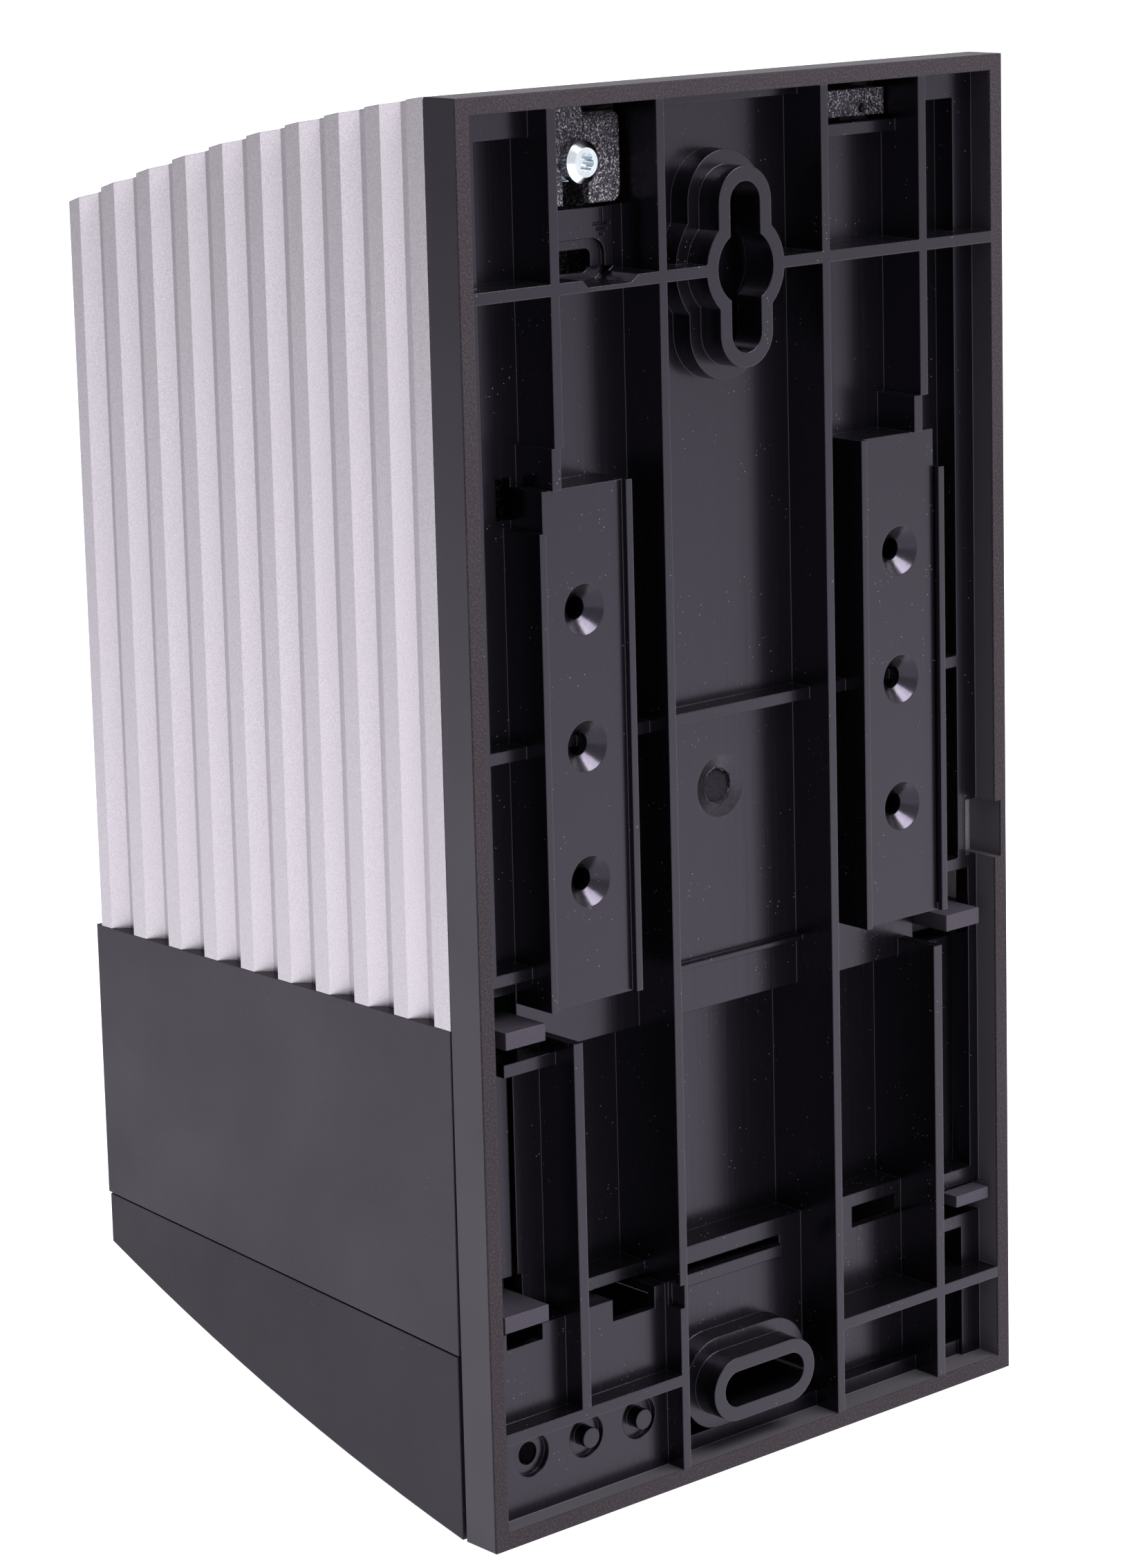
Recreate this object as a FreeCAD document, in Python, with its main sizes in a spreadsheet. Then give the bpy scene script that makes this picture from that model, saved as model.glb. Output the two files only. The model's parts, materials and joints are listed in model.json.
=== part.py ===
import FreeCAD, Part
import Sketcher
import math
import os

# Wall-mounted micro inverter. Millimetres, +Z up. The origin is the centre of the keyhole on
# the wall plane: the wall is the plane y = 0, and the body stands out from it towards -Y.
# "depth" is the distance from the wall, and "height" the distance above the back plate's foot.

doc = FreeCAD.newDocument("WallInverter")
sheet = doc.addObject("Spreadsheet::Sheet", "Sizes")

DRIVING = {
    # overall
    "half_width": 66, "tall": 257, "foot": -223, "body_depth": 115,
    # back plate
    "rim_depth": 8.2, "rim_wall": 3, "foot_gap": 4.2, "rib_wall": 1.8, "floor_depth": 9.6, "floor_wall": 1.8,
    "floor_half": 60.6, "strip_depth": 5, "strip_inner": 58, "strip_foot": 101.2,
    "raised_depth": 4.2, "recess_depth": 16.3,
    "recess_low": 41, "recess_high": 85.8, "inner_rib": 19, "outer_rib": 44,
    "upper_rail": 222, "lower_rail": 19.2, "rail_wall": 2.1,
    "pad_inner": 28.3, "pad_outer": 49.8, "pad_low": 95.9, "pad_high": 188.4,
    "pad_face_inner": 29.7, "pad_face_outer": 48.1, "fin_high": 181.2,
    "pad_depth": 1.2, "pad_wall": 4, "fin_wall": 1.4, "left_low_rib": 42.9, "right_low_rib": 46,
    "low_rib_top": 89.2, "earth_x": 32.4, "earth_height": 243.65,
    # wall fixings
    "hole_x": 39.05, "hole_radius": 2.05, "sink_radius": 4.6, "hole_pitch": 24.4,
    "hole_middle": 142.1, "slot_height": 14.9, "slot_half": 3.4, "slot_reach": 6.7,
    "key_radius": 6.75, "key_half": 3.65, "key_reach": 11.65, "collar_wall": 2.7,
    "flange_depth": 5.2, "key_wall": 6.4,
    # heat sink shell
    "shell_back": 8.5, "shell_front": 114.3, "shell_foot": 94.4, "shell_skin": 2.5,
    "groove_first": 12.9, "fin_pitch": 11.24, "groove_open": 7.24, "groove_sink": 2.6,
    "groove_count": 9, "front_groove_count": 3, "front_groove_first": 59.82,
    "flange_near": 21.6, "flange_far": 24.6, "flange_edge": 52,
    "arch_drop": 23.9, "arch_radius": 650, "corner_cut": 1,
    # lower housing and connection cover
    "wall": 2.5, "seam_back": 34.6, "seam_front": 40.8, "seam_gap": 0.3, "cover_front": 114.4,
    "housing_back_high": 8.7, "housing_back_low": 9, "cover_back": 9.3,
    "belly_rise": 30.8, "belly_radius": 572, "shelf_height": 58, "shelf_wall": 2,
    # inside
    "screw_way": 1.6, "screw_core": 1.45, "screw_head": 2.8,
    "insert_radius": 2.4, "post_near": 102, "light_height": 76,
    "chassis_near": 20.1, "chassis_wall": 1.5, "board_near": 27.6, "board_wall": 1.6,
    "tab_near": 8.4, "tab_wall": 1.5,
}

DERIVED = {
    "top": "foot + tall",
    "side": "half_width",
    "side_in": "half_width - groove_sink - shell_skin",
    "chamfer_x": "half_width - corner_cut",
    "shell_y_back": "-shell_back",
    "shell_y_front": "-shell_front",
    "shell_y_chamfer": "-shell_front + corner_cut",
    "shell_y_in": "-shell_front + groove_sink + shell_skin",
    "flange_y_near": "-flange_near",
    "flange_y_far": "-flange_far",
    "groove_a": "-groove_first",
    "groove_b": "-groove_first - groove_sink",
    "groove_c": "-groove_first - groove_open + groove_sink",
    "groove_d": "-groove_first - groove_open",
    "groove_x": "half_width - groove_sink",
    "front_a": "front_groove_first",
    "front_b": "front_groove_first - groove_sink",
    "front_c": "front_groove_first - groove_open + groove_sink",
    "front_d": "front_groove_first - groove_open",
    "front_y": "-shell_front + groove_sink",
    "arch_low": "foot + tall - arch_drop",
    "above": "foot + tall + 10",
    "ahead": "-shell_front - 6",
    "behind": "-shell_back + 3",
    "cap_y_back": "-shell_back - 0.7",
    "cap_y_front": "-shell_front + groove_sink + shell_skin + 0.3",
    "cap_back_high": "foot + tall - 0.8",
    "cap_back_low": "foot + tall - 2.4",
    "cap_front_high": "foot + tall - arch_drop + 0.4",
    "cap_front_low": "foot + tall - arch_drop - 1.6",
    "body_y_front": "-body_depth",
    "body_y_in": "-body_depth + wall",
    "housing_top": "foot + shell_foot",
    "housing_under": "foot + shell_foot - wall",
    "seam_z_back": "foot + seam_back",
    "seam_z_front": "foot + seam_front",
    "housing_y_high": "-housing_back_high",
    "housing_y_low": "-housing_back_low",
    "cover_y_back": "-cover_back",
    "below": "foot + 10",
    "cover_z_back": "foot + seam_back - seam_gap",
    "cover_z_front": "foot + seam_front - seam_gap",
    "cover_y_front": "-cover_front",
    "cover_y_in": "-cover_front + wall",
    "belly_back": "foot",
    "belly_front": "foot + belly_rise",
    "belly_in_back": "foot + wall",
    "belly_in_front": "foot + belly_rise + wall",
    "shell_up": "foot + tall",
    "shell_down": "-foot - shell_foot",
}


# Places as (x, height) of the screws that repeat.
CHASSIS_SCREWS = [(x, height) for x in (-56, 56) for height in (120, 220)]
BOARD_POSTS = [(x, height) for x in (-48, 48) for height in (108, 168, 228)]
COVER_SCREWS = [(x, 36.9) for x in (-45, 45)]


def fill_sheet():
    """Write every driving and derived size into its own named cell."""
    row = 0
    for name, number in DRIVING.items():
        row += 1
        write_row(row, name, str(number))
    for name, formula in DERIVED.items():
        row += 1
        write_row(row, name, "=" + formula)
    doc.recompute()


def write_row(row, name, text):
    sheet.set("A%d" % row, name)
    sheet.set("B%d" % row, text)
    sheet.setAlias("B%d" % row, name)


def size(name):
    """Number in a cell; a leading minus sign gives its negative."""
    if name.startswith("-"):
        return -float(sheet.get(name[1:]))
    return float(sheet.get(name))


def cell(term):
    """Expression text in which each word is a cell of the sheet."""
    words = []
    for piece in str(term).replace("(", "( ").replace(")", " )").split():
        sign = "-" if piece.startswith("-") and len(piece) > 1 else ""
        word = piece[1:] if sign else piece
        words.append(sign + ("Sizes." + word if word[0].isalpha() else word))
    return " ".join(words)


def bind(thing, prop, term):
    thing.setExpression(prop, cell(term))


# ---------------------------------------------------------------- simple solids

def block(label, x, depth, height):
    """Box between two x values, two depths from the wall and two heights above the foot."""
    box = doc.addObject("Part::Box", label)
    bind(box, "Length", "(%s) - (%s)" % (x[1], x[0]))
    bind(box, "Width", "(%s) - (%s)" % (depth[1], depth[0]))
    bind(box, "Height", "(%s) - (%s)" % (height[1], height[0]))
    bind(box, "Placement.Base.x", "(%s)" % x[0])
    bind(box, "Placement.Base.y", "0 - (%s)" % depth[1])
    bind(box, "Placement.Base.z", "foot + (%s)" % height[0])
    return box


TURNS = {
    "x": FreeCAD.Rotation(FreeCAD.Vector(0, 1, 0), 90),
    "y": FreeCAD.Rotation(FreeCAD.Vector(1, 0, 0), 90),
    "z": FreeCAD.Rotation(),
}


def place(solid, along, x, depth, height):
    solid.Placement = FreeCAD.Placement(FreeCAD.Vector(), TURNS[along])
    bind(solid, "Placement.Base.x", "(%s)" % x)
    bind(solid, "Placement.Base.y", "0 - (%s)" % depth)
    bind(solid, "Placement.Base.z", "foot + (%s)" % height)


def rod(label, along, start, radius, length):
    """Cylinder from a start point (x, depth, height); along y it runs away from the wall."""
    cylinder = doc.addObject("Part::Cylinder", label)
    bind(cylinder, "Radius", radius)
    bind(cylinder, "Height", length)
    place(cylinder, along, *start)
    return cylinder


def cone(label, start, radius_near, radius_far, length):
    """Cone that runs away from the wall."""
    taper = doc.addObject("Part::Cone", label)
    bind(taper, "Radius1", radius_near)
    bind(taper, "Radius2", radius_far)
    bind(taper, "Height", length)
    place(taper, "y", *start)
    return taper


def wedge(label, x_low, x_high, depth, height):
    """Block whose x range changes evenly from its lower to its upper face."""
    shape = doc.addObject("Part::Wedge", label)
    thick = "(%s) - (%s)" % (depth[1], depth[0])
    for prop, term in (
            ("Xmin", x_low[0]), ("Xmax", x_low[1]), ("X2min", x_high[0]), ("X2max", x_high[1]),
            ("Ymin", "0"), ("Ymax", "(%s) - (%s)" % (height[1], height[0])),
            ("Zmin", "0"), ("Z2min", "0"), ("Zmax", thick), ("Z2max", thick)):
        bind(shape, prop, term)
    place(shape, "y", "0", depth[0], height[0])
    return shape


def ring(label, along, centre, radius, wire):
    """Torus round an axis."""
    torus = doc.addObject("Part::Torus", label)
    bind(torus, "Radius1", radius)
    bind(torus, "Radius2", wire)
    place(torus, along, *centre)
    return torus


def prism(label, along, start, radius, length):
    """Hexagonal prism, such as a nut or a standoff."""
    six = doc.addObject("Part::Prism", label)
    six.Polygon = 6
    bind(six, "Circumradius", radius)
    bind(six, "Height", length)
    place(six, along, *start)
    return six


def join(label, pieces):
    if len(pieces) == 1:
        pieces[0].Label = label
        return pieces[0]
    fused = doc.addObject("Part::MultiFuse", label)
    fused.Shapes = pieces
    fused.Refine = True
    return fused


def carve(label, base, tools):
    left = doc.addObject("Part::Cut", label)
    left.Base = base
    left.Tool = join(label + "_tools", tools)
    return left


def group(label, pieces):
    """Several separate solids kept as one node."""
    bundle = doc.addObject("Part::Compound", label)
    bundle.Links = pieces
    return bundle


def mirror_x(x, hand):
    """An x range for the +X hand (1) or the -X hand (-1)."""
    if hand > 0:
        return x
    return ("0 - (%s)" % x[1], "0 - (%s)" % x[0])


def oblong(label, x, height, half, reach, depth, upright):
    """Slot shape that runs away from the wall; half is half its width, reach its half span."""
    span = "(%s) - (%s)" % (depth[1], depth[0])
    if upright:
        ends = [(x, "%s + %s" % (height, reach)), (x, "%s - %s" % (height, reach))]
        wide, high = half, reach
    else:
        ends = [("%s + %s" % (x, reach), height), ("%s - %s" % (x, reach), height)]
        wide, high = reach, half
    pieces = [rod("%s_end_%d" % (label, k), "y", (end[0], depth[0], end[1]), half, span)
              for k, end in enumerate(ends)]
    pieces.append(block(label + "_middle",
                        ("%s - (%s)" % (x, wide), "%s + (%s)" % (x, wide)), depth,
                        ("%s - (%s)" % (height, high), "%s + (%s)" % (height, high))))
    return join(label, pieces)


# ---------------------------------------------------------------- sketched bodies

def new_body(label):
    return doc.addObject("PartDesign::Body", label)


def origin_part(body, role):
    return next(item for item in body.Origin.OriginFeatures if item.Role == role)


def new_sketch(body, role, label):
    sketch = body.newObject("Sketcher::SketchObject", label)
    sketch.AttachmentSupport = [(origin_part(body, role), "")]
    sketch.MapMode = "FlatFace"
    return sketch


def bent(start, end, radius, side):
    """Circular arc between two points; side 1 bulges to the left of start to end."""
    chord = end - start
    half = chord.Length / 2
    across = FreeCAD.Vector(-chord.y, chord.x, 0).normalize() * side
    middle = (start + end) * 0.5
    sag = radius - math.sqrt(radius * radius - half * half)
    return Part.Arc(start, middle + across * sag, end)


def outline(sketch, corners, arcs=None):
    """Closed outline through corners named in the sheet; arcs bends numbered sides."""
    arcs = arcs or {}
    spots = [FreeCAD.Vector(size(a), size(b), 0) for a, b in corners]
    first = sketch.GeometryCount
    ends = []
    for k, start in enumerate(spots):
        end = spots[(k + 1) % len(spots)]
        if k in arcs:
            radius, side = arcs[k]
            sketch.addGeometry(bent(start, end, size(radius), side), False)
            at_start = sketch.getPoint(first + k, 1).distanceToPoint(start) < 1e-6
            ends.append((1, 2) if at_start else (2, 1))
        else:
            sketch.addGeometry(Part.LineSegment(start, end), False)
            ends.append((1, 2))
    for k, (a, b) in enumerate(corners):
        after = (k + 1) % len(spots)
        sketch.addConstraint(Sketcher.Constraint(
            "Coincident", first + k, ends[k][1], first + after, ends[after][0]))
        pin_point(sketch, first + k, ends[k][0], a, b)
    for k, (radius, side) in arcs.items():
        index = sketch.addConstraint(Sketcher.Constraint("Radius", first + k, size(radius)))
        sketch.setExpression("Constraints[%d]" % index, cell(radius))


def pin_point(sketch, geometry, end, a, b):
    """Tie one end of a side to its x and y cells."""
    for kind, name in (("DistanceX", a), ("DistanceY", b)):
        index = sketch.addConstraint(
            Sketcher.Constraint(kind, -1, 1, geometry, end, size(name)))
        sketch.setExpression("Constraints[%d]" % index, cell(name))


def pad(body, sketch, label, length, second=None):
    """Pad both ways: symmetric, or with a length of its own on the second side."""
    feature = body.newObject("PartDesign::Pad", label)
    feature.Profile = sketch
    feature.SideType = "Symmetric" if second is None else "Two sides"
    bind(feature, "Length", length)
    if second is not None:
        bind(feature, "Length2", second)
    doc.recompute()
    return feature


def pocket(body, sketch, label, width=None):
    """Pocket both ways from the sketch: through everything, or over a symmetric width."""
    before = body.Shape.Volume
    feature = body.newObject("PartDesign::Pocket", label)
    feature.Profile = sketch
    feature.SideType = "Symmetric"
    if width is None:
        feature.Type = "ThroughAll"
        feature.Type2 = "ThroughAll"
    else:
        bind(feature, "Length", width)
    doc.recompute()
    if not feature.Shape.Volume < before - 1:
        raise RuntimeError("%s removes nothing" % label)
    return feature


def row_of(body, feature, label, role, count, pitch, backwards):
    """Repeat a feature in a straight row."""
    pattern = body.newObject("PartDesign::LinearPattern", label)
    pattern.Originals = [feature]
    pattern.Direction = (origin_part(body, role), [""])
    pattern.Mode = "Spacing"
    pattern.Reversed = backwards
    bind(pattern, "Occurrences", count)
    bind(pattern, "Offset", pitch)
    body.Tip = pattern
    doc.recompute()
    return pattern


# ---------------------------------------------------------------- back plate

PLATE = "plate_"
ROUND_PINS = (("2", "40.7"), ("3", "27.9"))


def plate_floor():
    """Floors at their own depths, with the steps between them."""
    near, far = "floor_depth", "floor_depth + floor_wall"
    deep, deep_far = "recess_depth", "recess_depth + floor_wall"
    high = ("raised_depth", "raised_depth + floor_wall")
    recess = ("0 - right_low_rib - rib_wall", "left_low_rib + rib_wall")
    return [
        block(PLATE + "upper_floor", ("-floor_half", "floor_half"), (near, far),
              ("recess_high", "tall - rim_wall")),
        block(PLATE + "left_side_floor", ("left_low_rib", "floor_half"), (near, far),
              ("36", "recess_high")),
        block(PLATE + "right_side_floor", ("-floor_half", "0 - right_low_rib"), (near, far),
              ("foot_gap", "recess_high")),
        block(PLATE + "lower_floor", ("-floor_half", "inner_rib + rib_wall"), (near, far),
              ("foot_gap", "recess_low")),
        block(PLATE + "recess_floor", recess, (deep, deep_far),
              ("recess_low - floor_wall", "recess_high + floor_wall")),
        block(PLATE + "recess_roof", recess, (near, deep_far),
              ("recess_high", "recess_high + floor_wall")),
        block(PLATE + "recess_ledge", recess, (near, deep_far),
              ("recess_low - 2.5", "recess_low")),
        block(PLATE + "raised_floor", ("inner_rib", "side - rim_wall"), high,
              ("rim_wall", "38")),
        block(PLATE + "raised_top", ("inner_rib", "floor_half"),
              ("raised_depth", "recess_depth"), ("36.2", "38")),
    ]


def plate_rim():
    """Outer frame, open at the wall side."""
    outer = block(PLATE + "rim_outer", ("-side", "side"), ("0", "rim_depth"), ("0", "tall"))
    inner = block(PLATE + "rim_inner", ("rim_wall - side", "side - rim_wall"),
                  ("-1", "rim_depth + 1"), ("rim_wall", "tall - rim_wall"))
    return carve(PLATE + "rim", outer, [inner])


def plate_skirt():
    """Closing steps between the rim and the floor at the top and at the foot."""
    far = "floor_depth + floor_wall"
    centre = ("0 - inner_rib", "inner_rib")
    foot = ("-floor_half", "inner_rib + rib_wall")
    return [
        block(PLATE + "top_skirt", centre, ("6", far), ("tall - rim_wall - 1.8", "tall - rim_wall")),
        block(PLATE + "foot_lip", foot, ("6", "rim_depth"), ("rim_wall", "6")),
        block(PLATE + "foot_skirt", foot, ("rim_depth", far), ("foot_gap", "6")),
    ]


def plate_strips():
    """Shallow strips along the rim, the closed top corners and the sill under a tab."""
    far = "floor_depth + floor_wall"
    high = ("strip_foot", "tall - rim_wall")
    corner = ("249", "tall - rim_wall")
    pieces = []
    for name, x, height in (
            ("left_strip", ("strip_inner", "floor_half"), high),
            ("right_strip", ("-floor_half", "-strip_inner"), high),
            ("right_strip_low", ("-floor_half", "-strip_inner"), ("foot_gap", "29.6")),
            ("left_top", ("outer_rib", "floor_half"), corner),
            ("right_top", ("-floor_half", "0 - outer_rib"), corner)):
        pieces.append(block(PLATE + name, x, ("strip_depth", far), height))
    for name, x, height in (
            ("left_edge", ("strip_inner", "side - rim_wall"), high),
            ("left_edge_low", ("floor_half", "side - rim_wall"), ("recess_low - 4", "strip_foot")),
            ("right_edge", ("rim_wall - side", "-strip_inner"), high),
            ("right_edge_low", ("rim_wall - side", "-floor_half"), ("rim_wall", "strip_foot")),
            ("right_edge_foot", ("rim_wall - side", "-strip_inner"), ("rim_wall", "29.6"))):
        pieces.append(block(PLATE + name, x, ("strip_depth", "rim_depth"), height))
    pieces.append(block(PLATE + "tab_sill", ("-45", "0 - inner_rib"), ("6", far),
                        ("243.9", "246.1")))
    return pieces


def plate_ribs():
    """Upright and level ribs that reach the wall plane."""
    far = "floor_depth + floor_wall"
    deep = "recess_depth + floor_wall"
    uprights = [
        ("rib_left", ("inner_rib", "inner_rib + rib_wall"), ("rim_wall", "tall - rim_wall")),
        ("rib_right", ("0 - inner_rib - rib_wall", "0 - inner_rib"),
         ("rim_wall", "tall - rim_wall")),
        ("rib_far_left", ("43.9", "45.9"), ("195.7", "tall - rim_wall")),
        ("rib_near_left", ("44.6", "46.6"), ("pad_high", "195.7")),
        ("rib_far_right", ("-45.8", "-43.9"), ("195.2", "tall - rim_wall")),
        ("rib_near_right", ("-44.2", "-42.2"), ("pad_high", "195.2")),
        ("rib_low_left", ("left_low_rib", "left_low_rib + 2.1"), ("lower_rail", "low_rib_top")),
        ("rib_low_right", ("0 - right_low_rib - 2.1", "0 - right_low_rib"),
         ("rim_wall", "low_rib_top")),
    ]
    pieces = [block(PLATE + name, x, ("0", "rim_depth"), height) for name, x, height in uprights]
    for name, x, height in uprights:
        low = "foot_gap" if height[0] == "rim_wall" else height[0]
        pieces.append(block(PLATE + name + "_root", x, ("rim_depth", far), (low, height[1])))
    for name, x in (
            ("deep_left", ("inner_rib", "inner_rib + rib_wall")),
            ("deep_right", ("0 - inner_rib - rib_wall", "0 - inner_rib")),
            ("deep_far_left", ("left_low_rib", "left_low_rib + rib_wall")),
            ("deep_far_right", ("0 - right_low_rib - rib_wall", "0 - right_low_rib"))):
        pieces.append(block(PLATE + name, x, ("floor_depth", deep),
                            ("recess_low - 2.5", "recess_high + floor_wall")))
    for name, low, inner in (("upper_rail_rib", "upper_rail", "0"),
                             ("lower_rail_rib", "lower_rail", "inner_rib")):
        tall = (low, "%s + rail_wall" % low)
        for side, hand in (("_left", 1), ("_right", -1)):
            pieces.append(block(PLATE + name + side, mirror_x((inner, "side - rim_wall"), hand),
                                ("0", "rim_depth"), tall))
            pieces.append(block(PLATE + name + side + "_root",
                                mirror_x((inner, "floor_half"), hand), ("0", far), tall))
    return pieces


def plate_pads():
    """Screw pads, each between two low fins, closed down to the floor."""
    far = "floor_depth + floor_wall"
    low = ("pad_low", "pad_low + fin_wall")
    high = ("pad_high - fin_wall", "pad_high")
    pieces = []
    for name, hand in (("left", 1), ("right", -1)):
        for part, x, depth, height in (
                ("face", ("pad_inner", "pad_face_outer"), ("pad_depth", "pad_depth + pad_wall"),
                 ("pad_low", "pad_high")),
                ("inner", ("pad_inner", "pad_face_inner"), ("0", far), ("pad_low", "pad_high")),
                ("outer", ("pad_outer - fin_wall", "pad_outer"), ("0", far),
                 ("pad_low", "fin_high")),
                ("shelf", ("pad_face_outer - 0.6", "pad_outer"), ("pad_depth + 0.6", far),
                 ("pad_low", "fin_high")),
                ("wall", ("pad_face_outer - fin_wall", "pad_face_outer"), ("pad_depth", far),
                 ("fin_high", "pad_high")),
                ("low", ("pad_inner", "pad_outer"), ("pad_depth", far), low),
                ("high", ("pad_inner", "pad_face_outer"), ("pad_depth", far), high)):
            pieces.append(block("%s%s_pad_%s" % (PLATE, name, part), mirror_x(x, hand), depth,
                                height))
    return pieces


def plate_small_ribs():
    """Level ribs between the strips, the window frames and the panel under the left tab."""
    far = "floor_depth + floor_wall"
    across = ("-floor_half", "floor_half")
    edge = "pad_outer - fin_wall"
    bars = [
        ("cross_rib", across, ("strip_depth", far), ("141", "143.2")),
        ("fine_rib", ("0 - inner_rib", "inner_rib"), ("7.9", far), ("94.5", "95.4")),
        ("left_bar", (edge, "floor_half"), ("strip_depth", far), ("strip_foot", "103.4")),
        ("right_bar", ("-floor_half", "0 - pad_outer + fin_wall"), ("strip_depth", far),
         ("strip_foot", "103.5")),
        ("left_frame", ("left_low_rib", "57"), ("strip_depth", far), ("84.6", "87")),
        ("right_frame", ("-61", "0 - right_low_rib"), ("strip_depth", far), ("38", "41.2")),
        ("right_frame_low", ("-61", "0 - right_low_rib"), ("strip_depth", far),
         ("29.4", "32")),
        ("right_side_low", ("-61", "-59"), ("strip_depth", far), ("32", "41.2")),
        ("earth_panel", ("24.3", "outer_rib"), ("8", far), ("224", "235.5")),
        ("centre_lip", ("-13.3", "inner_rib"), ("floor_depth - 0.8", far), ("33.6", "35.9")),
    ]
    return [block(PLATE + name, x, depth, height) for name, x, depth, height in bars]


def plate_bosses():
    """Stepped bosses round the keyhole and round the lower slot."""
    far = "floor_depth + floor_wall"
    pieces = []
    for name, grow, depth in (("collar", "collar_wall", ("0", far)),
                              ("flange", "2 * collar_wall", ("flange_depth", far))):
        pieces.append(rod(PLATE + "key_round_" + name, "y", ("0", depth[0], "0 - foot"),
                          "key_radius + %s" % grow, "%s - (%s)" % (depth[1], depth[0])))
        pieces.append(oblong(PLATE + "key_long_" + name, "0", "0 - foot",
                             "key_half + %s" % grow, "key_reach", depth, True))
        pieces.append(oblong(PLATE + "slot_" + name, "0", "slot_height",
                             "slot_half + %s" % grow, "slot_reach", depth, False))
    return pieces


def plate_key_cuts():
    """Keyhole with a wider pocket for the screw head, and the lower slot right through."""
    pocket_depth = ("key_wall", "floor_depth")
    return [
        rod(PLATE + "key_round_cut", "y", ("0", "-1", "0 - foot"), "key_radius",
            "floor_depth + 1"),
        oblong(PLATE + "key_long_cut", "0", "0 - foot", "key_half", "key_reach",
               ("-1", "floor_depth"), True),
        rod(PLATE + "key_head_room", "y", ("0", "key_wall", "0 - foot"),
            "key_radius + 2.2", "floor_depth - key_wall"),
        oblong(PLATE + "key_head_path", "0", "0 - foot", "key_half + 3.2",
               "key_reach", pocket_depth, True),
        oblong(PLATE + "slot_cut", "0", "slot_height", "slot_half", "slot_reach",
               ("-1", "floor_depth + floor_wall + 1"), False),
    ]


def plate_screw_cuts():
    """Countersunk holes in the two pads."""
    tools = []
    for name, hand in (("left", ""), ("right", "0 - ")):
        for k in (-1, 0, 1):
            label = "%s%s_hole_%d" % (PLATE, name, k + 2)
            x = "%shole_x" % hand
            height = "hole_middle + %d * hole_pitch" % k
            tools.append(rod(label, "y", (x, "0", height), "hole_radius",
                             "pad_depth + pad_wall + 1"))
            tools.append(cone(label + "_sink", (x, "pad_depth", height), "sink_radius",
                              "hole_radius", "sink_radius - hole_radius"))
    return tools


def plate_windows():
    """Openings in the floor for the hanger tabs, the earth wire and the four tongues."""
    through = ("4", "14")
    under = ("8", "14")
    windows = [
        ("left_tab_window", ("inner_rib + rib_wall", "43.9"), ("3", "14"),
         ("235.5", "tall - rim_wall")),
        ("right_tab_window", ("-43.9", "0 - inner_rib - rib_wall"), ("3", "14"),
         ("246.1", "tall - rim_wall")),
        ("pad_window", ("pad_face_outer", "51.4"), under, ("182.6", "190")),
        ("tongue_high_left", ("50", "floor_half"), through, ("87", "98")),
        ("tongue_high_right", ("-floor_half", "-50"), through, ("87", "strip_foot")),
        ("tongue_low_left", ("50.4", "side - rim_wall"), through, ("38", "46")),
        ("tongue_low_left_notch", ("50.4", "58.8"), ("3", "14"), ("35", "40")),
        ("tongue_low_right", ("rim_wall - side", "0 - right_low_rib - 2.1"), through,
         ("32", "38")),
        ("left_slit", ("51.3", "52.6"), under, ("46", "84.6")),
        ("rim_notch", ("-64.6", "-60"), ("-1", "rim_depth + 4"), ("103.6", "114.6")),
        ("low_cell_window", ("-45.9", "-32.7"), ("7.6", "recess_depth + floor_wall + 1"),
         ("34.3", "38.4")),
        ("low_left_window", ("23.4", "33.6"), ("3", "18"), ("33.9", "38.6")),
        ("centre_ledge_slot", ("-13.3", "inner_rib"), under, ("35.9", "37.6")),
        ("rib_notch", ("inner_rib + 0.8", "inner_rib + rib_wall + 1"), ("-1", "3.4"),
         ("34", "38.4")),
    ]
    tools = [block(PLATE + name, x, depth, height) for name, x, depth, height in windows]
    rail_top = "upper_rail + rail_wall"
    tools += [
        soft_window(PLATE + "earth_recess", ("26.4", "43.9"), ("6", "8.9"), (rail_top, "230.1"),
                    "3", False),
        soft_window(PLATE + "earth_window", ("29", "43.9"), ("6", "14"), (rail_top, "228.3"),
                    "1.3", True),
        wedge(PLATE + "rail_notch", ("27.4", "37.4"), ("24.4", "39.4"), ("-1", "floor_depth"),
              ("222.8", "225")),
    ]
    centre = ("-0.3", "126.9")
    tools.append(rod(PLATE + "dimple", "y", (centre[0], "8", centre[1]), "3.2", "3"))
    tools.append(cone(PLATE + "dimple_rim", (centre[0], "floor_depth - 0.2", centre[1]), "6.4",
                      "3", "1.1"))
    return tools


def plate_earth_mark():
    """Protective earth symbol sunk into the panel under the tab."""
    centre = 27
    strokes = [("stem", 0.25, ("232.8", "235")), ("long", 1.9, ("232.3", "232.8")),
               ("middle", 1.2, ("231.4", "231.9")), ("short", 0.5, ("230.5", "231"))]
    return [block("%searth_%s" % (PLATE, name), (centre - half, centre + half), ("7", "8.4"),
                  height) for name, half, height in strokes]


def round_pin(k, x, depth, length):
    """Rod of the size of the pin in a round recess."""
    return rod("%spin_%s" % (PLATE, k), "y", (x, depth, "14"), "1.9", length)


def plate_pins():
    """Pins that stand up in the two round recesses nearer the foot slot."""
    return [round_pin(k, x, "2.8", "2.4") for k, x in ROUND_PINS]


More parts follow.
